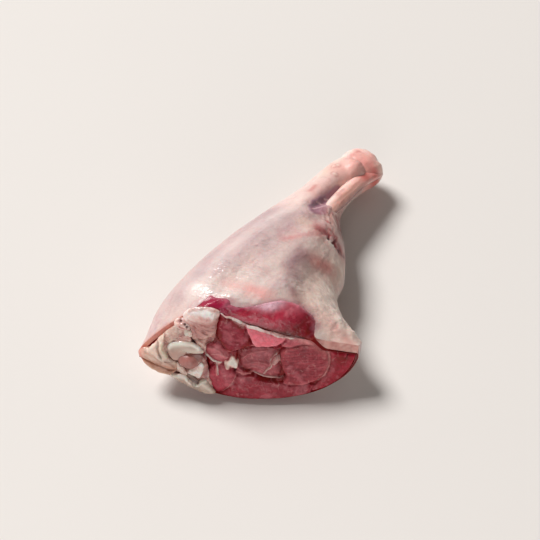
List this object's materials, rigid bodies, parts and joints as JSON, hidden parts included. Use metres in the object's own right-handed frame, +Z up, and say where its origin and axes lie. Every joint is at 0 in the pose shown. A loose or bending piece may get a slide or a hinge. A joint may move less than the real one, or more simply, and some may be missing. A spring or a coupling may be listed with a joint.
{
  "type": "raw lamb shank",
  "caption": "Raw lamb hind shank lying on its side, with its cut muscle face, knee joint tissue, thin fat cover, heel tendon and bare hock bone end.",
  "frame": {"origin": "middle of the shank's bounding box in plan, on the surface that it lies on", "axes": "+Y along the shin bone from the cut knee end to the hock end, +X to the calf side, +Z up"},
  "size_m": [0.115, 0.2228, 0.0625],
  "materials": {
    "meat": "moist cut lamb muscle, deep red to rose, with fine grain and pale membranes",
    "fat_cover": "moist thin skin of fat and membrane, pale grey-pink, with muscle showing through",
    "fat": "soft pinkish white fat, moist",
    "ligament": "cream yellow ligament and fat, moist",
    "cartilage": "smooth grey-white cartilage, glossy",
    "tendon": "pale pink tendon, satin",
    "bone": "salmon pink bone and gristle, moist satin"
  },
  "bodies": {
    "root": {"shank_bone": "bone", "heel_tendon": "tendon", "fat_cover": "fat_cover", "joint_cartilage": "cartilage", "joint_fat": "fat", "joint_shell": "cartilage", "knee_nodule": "fat", "knee_ligament": "ligament", "knee_fat": "fat", "joint_capsule": "ligament", "meat": "meat"}
  },
  "joints": []
}
